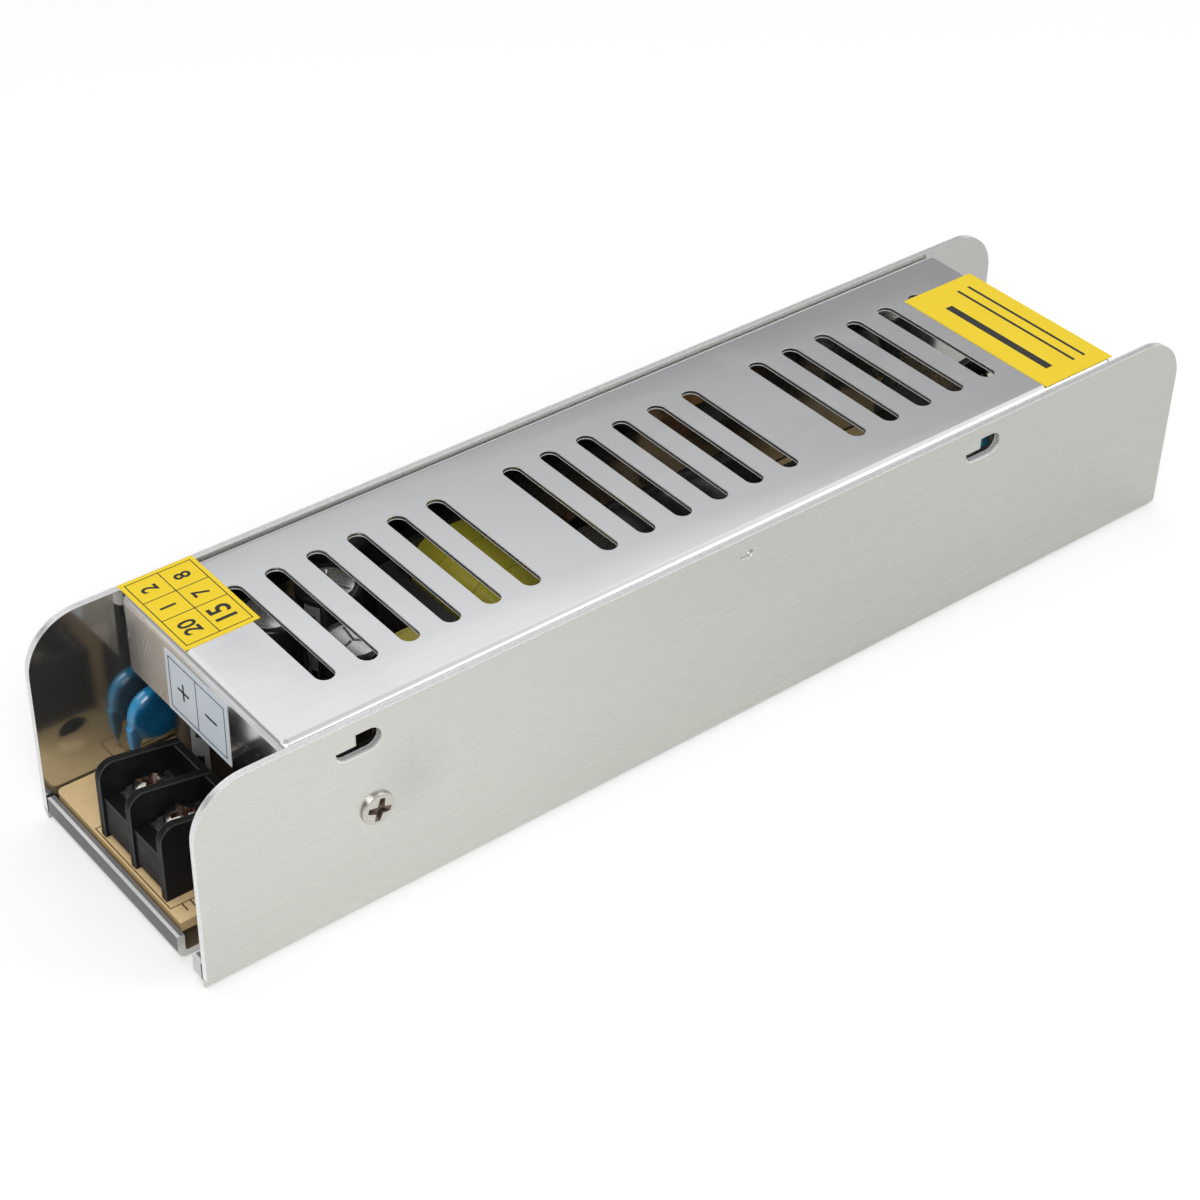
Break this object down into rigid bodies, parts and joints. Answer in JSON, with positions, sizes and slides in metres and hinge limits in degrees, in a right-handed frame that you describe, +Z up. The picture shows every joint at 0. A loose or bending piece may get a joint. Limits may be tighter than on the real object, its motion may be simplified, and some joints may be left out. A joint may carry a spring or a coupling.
{
  "type": "mesh case switching power supply",
  "caption": "Slim folded-metal power supply with a slotted clip-on cover, open ends and screw terminal blocks on a circuit board.",
  "frame": {"origin": "middle of the chassis underside, midway between the end faces and between the outer faces of the side walls", "axes": "+X along the length towards the input end, +Z up from the underside, +Y towards the wall without the clamp screw"},
  "size_m": [0.19, 0.0469, 0.0351],
  "materials": {
    "chassis_sheet": "satin rolled sheet, bright cut edges",
    "cover_sheet": "satin rolled sheet, bright cut edges",
    "film": "translucent film",
    "board_laminate": "tan phenolic laminate",
    "plated_screw": "nickel plate",
    "plated_contact": "tin plate",
    "block_moulding": "fine matt moulding",
    "package_moulding": "matt epoxy",
    "silicone_pad": "grey-blue silicone",
    "black_sleeve": "shrunk sleeve",
    "can_metal": "bright drawn can",
    "blue_coating": "dipped lacquer",
    "ferrite": "ground ferrite",
    "yellow_tape": "polyester tape",
    "bobbin_moulding": "moulded",
    "black_anodised": "black anodised",
    "enamelled_wire": "amber enamel",
    "grey_case": "moulded case",
    "green_coating": "dull coating",
    "bright_plate": "bright plate",
    "fuse_glass": "clear",
    "fuse_cap": "nickel plate",
    "resistor_body": "lacquered",
    "yellow_label": "printed sticker",
    "white_label": "printed sticker"
  },
  "bodies": {
    "root": {"chassis": "chassis_sheet", "cover": "cover_sheet", "insulation_sheet": "film", "circuit_board": "board_laminate", "board_screws": "plated_screw", "output_block": "block_moulding", "output_contacts": "plated_contact", "input_block": "block_moulding", "input_contacts": "plated_contact", "clamp_screw": "plated_screw", "clamp_nut": "plated_screw", "rectifier": "package_moulding", "rectifier_pad": "silicone_pad", "output_capacitor_sleeves": "black_sleeve", "output_capacitor_cans": "can_metal", "disc_capacitor": "blue_coating", "inductor_core": "ferrite", "inductor_winding": "yellow_tape", "transformer_core": "ferrite", "transformer_bobbin": "bobbin_moulding", "transformer_winding": "yellow_tape", "bulk_capacitor_sleeve": "black_sleeve", "bulk_capacitor_can": "can_metal", "heatsink": "black_anodised", "switching_transistor": "package_moulding", "controller_chip": "package_moulding", "choke_core": "ferrite", "choke_winding": "enamelled_wire", "film_capacitor": "grey_case", "bridge_rectifier": "package_moulding", "bridge_heatsink": "bright_plate", "varistor": "blue_coating", "thermistor": "green_coating", "fuse_tube": "fuse_glass", "fuse_caps": "fuse_cap", "small_resistors": "resistor_body", "date_label": "yellow_label", "cover_label": "yellow_label", "terminal_label": "white_label"},
    "output_clamp_1": {"output_clamp_1": "plated_contact"},
    "output_screw_1": {"output_screw_1": "plated_screw"},
    "output_clamp_2": {"output_clamp_2": "plated_contact"},
    "output_screw_2": {"output_screw_2": "plated_screw"},
    "input_clamp_1": {"input_clamp_1": "plated_contact"},
    "input_screw_1": {"input_screw_1": "plated_screw"},
    "input_clamp_2": {"input_clamp_2": "plated_contact"},
    "input_screw_2": {"input_screw_2": "plated_screw"},
    "input_clamp_3": {"input_clamp_3": "plated_contact"},
    "input_screw_3": {"input_screw_3": "plated_screw"}
  },
  "joints": [
    {"name": "output_lift_1", "type": "slide", "parent": "root", "child": "output_clamp_1", "axis": [0, 0, 1], "range_m": [0, 0.002]},
    {"name": "output_turn_1", "type": "hinge", "parent": "output_clamp_1", "child": "output_screw_1", "pos_m": [-0.0866, -0.00413, 0.0135], "axis": [0, 0, 1], "range_deg": [0, 1440]},
    {"name": "output_lift_2", "type": "slide", "parent": "root", "child": "output_clamp_2", "axis": [0, 0, 1], "range_m": [0, 0.002]},
    {"name": "output_turn_2", "type": "hinge", "parent": "output_clamp_2", "child": "output_screw_2", "pos_m": [-0.0866, 0.00413, 0.0135], "axis": [0, 0, 1], "range_deg": [0, 1440]},
    {"name": "input_lift_1", "type": "slide", "parent": "root", "child": "input_clamp_1", "axis": [0, 0, 1], "range_m": [0, 0.002]},
    {"name": "input_turn_1", "type": "hinge", "parent": "input_clamp_1", "child": "input_screw_1", "pos_m": [0.0866, 0.00825, 0.0135], "axis": [0, 0, 1], "range_deg": [0, 1440]},
    {"name": "input_lift_2", "type": "slide", "parent": "root", "child": "input_clamp_2", "axis": [0, 0, 1], "range_m": [0, 0.002]},
    {"name": "input_turn_2", "type": "hinge", "parent": "input_clamp_2", "child": "input_screw_2", "pos_m": [0.0866, 0, 0.0135], "axis": [0, 0, 1], "range_deg": [0, 1440]},
    {"name": "input_lift_3", "type": "slide", "parent": "root", "child": "input_clamp_3", "axis": [0, 0, 1], "range_m": [0, 0.002]},
    {"name": "input_turn_3", "type": "hinge", "parent": "input_clamp_3", "child": "input_screw_3", "pos_m": [0.0866, -0.00825, 0.0135], "axis": [0, 0, 1], "range_deg": [0, 1440]}
  ],
  "couplings": [
    {"joint": "output_turn_1", "follows": "output_lift_1", "rad_per_m": 12566},
    {"joint": "output_turn_2", "follows": "output_lift_2", "rad_per_m": 12566},
    {"joint": "input_turn_1", "follows": "input_lift_1", "rad_per_m": 12566},
    {"joint": "input_turn_2", "follows": "input_lift_2", "rad_per_m": 12566},
    {"joint": "input_turn_3", "follows": "input_lift_3", "rad_per_m": 12566}
  ]
}
